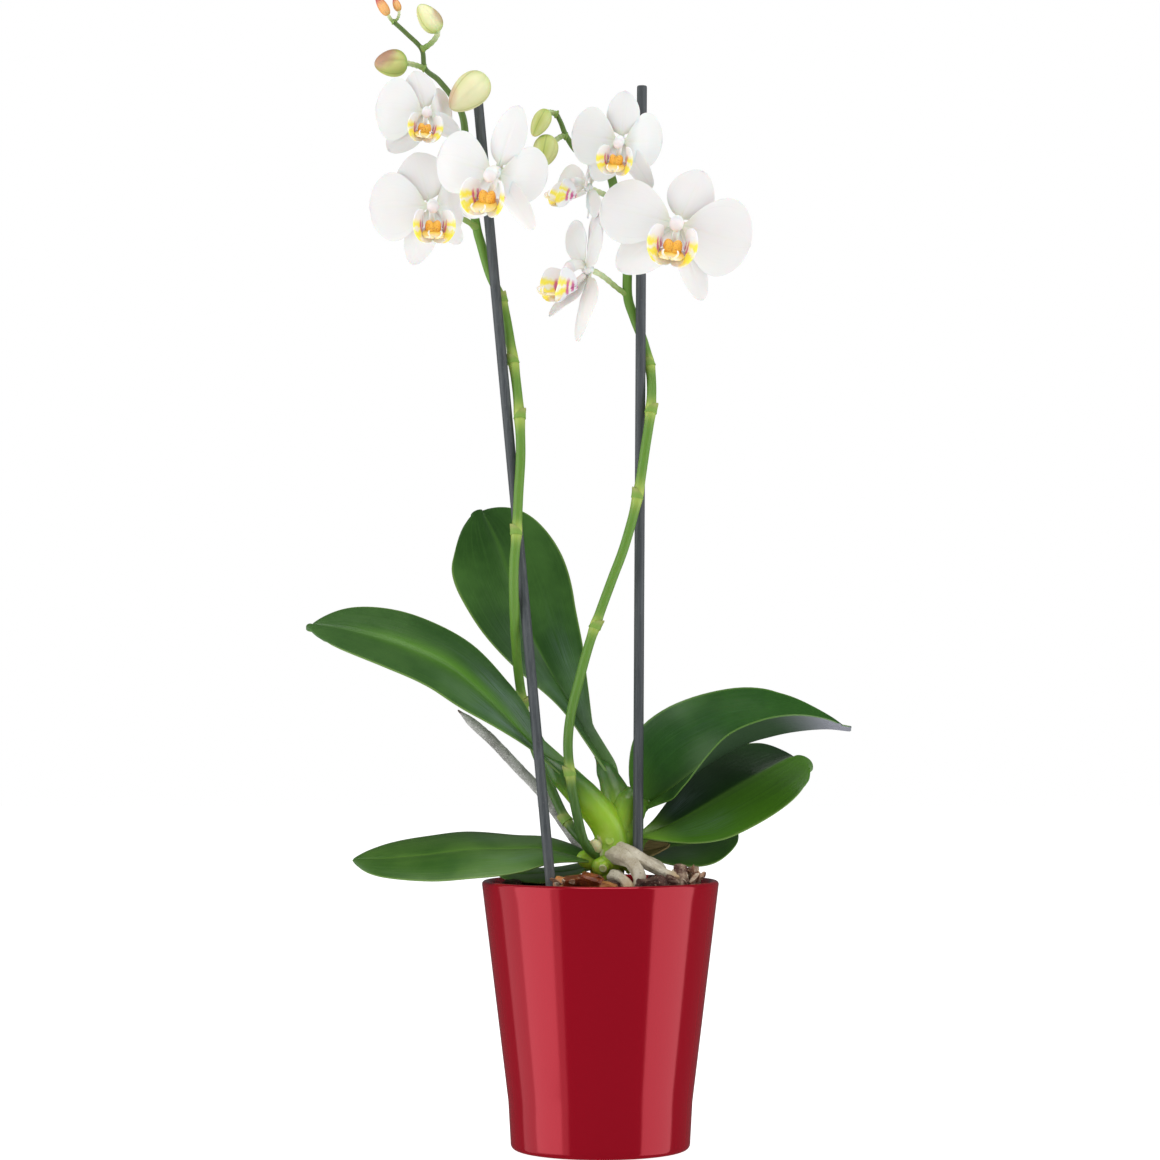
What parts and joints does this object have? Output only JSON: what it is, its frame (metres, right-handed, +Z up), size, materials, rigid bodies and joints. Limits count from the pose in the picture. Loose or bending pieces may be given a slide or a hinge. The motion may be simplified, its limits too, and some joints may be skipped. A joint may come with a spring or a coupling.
{
  "type": "potted moth orchid",
  "caption": "Moth orchid in bloom with two staked flower spikes, broad leaves and silver roots in bark, standing in a round glossy red cover pot.",
  "frame": {"origin": "middle of the cover pot's flat underside, where it stands on the table", "axes": "+Z up along the pot's axis to the flowers, -Y towards the viewer of the picture, +X to that viewer's right"},
  "size_m": [0.3072, 0.1532, 0.66],
  "materials": {
    "glaze": "glossy",
    "clear_plastic": "clear, thin",
    "bark": "rough",
    "stick": "satin",
    "crown": "satin",
    "leaf": "glossy, waxy",
    "root": "matte",
    "aerial_root": "matte",
    "dry_sheath": "matte",
    "spike": "satin",
    "bud": "satin",
    "bud_tip": "satin",
    "tepal": "matte, velvety",
    "lip": "satin",
    "column": "satin"
  },
  "bodies": {
    "root": {"cover_pot": "glaze", "grow_pot": "clear_plastic", "crown": "crown", "roots": "root", "root_right": "root", "aerial_root": "aerial_root", "stick_left": "stick", "stick_right": "stick", "spike_left": "spike", "spike_right": "spike", "dry_sheath": "dry_sheath", "bark": "bark", "leaf_back": "leaf", "leaf_left_high": "leaf", "leaf_right_high": "leaf", "leaf_right_mid": "leaf", "leaf_left_low": "leaf", "leaf_right_low": "leaf", "leaf_left_small": "leaf", "bloom_left_1_tepals": "tepal", "bloom_left_1_lip": "lip", "bloom_left_1_column": "column", "bloom_left_2_tepals": "tepal", "bloom_left_2_lip": "lip", "bloom_left_2_column": "column", "bloom_left_3_tepals": "tepal", "bloom_left_3_lip": "lip", "bloom_left_3_column": "column", "bloom_right_1_tepals": "tepal", "bloom_right_1_lip": "lip", "bloom_right_1_column": "column", "bloom_right_2_tepals": "tepal", "bloom_right_2_lip": "lip", "bloom_right_2_column": "column", "bloom_right_3_tepals": "tepal", "bloom_right_3_lip": "lip", "bloom_right_3_column": "column", "bloom_right_4_tepals": "tepal", "bloom_right_4_lip": "lip", "bloom_right_4_column": "column", "bud_left_1": "bud", "bud_left_2": "bud", "bud_left_3": "bud", "bud_left_4": "bud_tip", "bud_left_5": "bud_tip", "bud_right_1": "bud", "bud_right_2": "bud"}
  },
  "joints": []
}
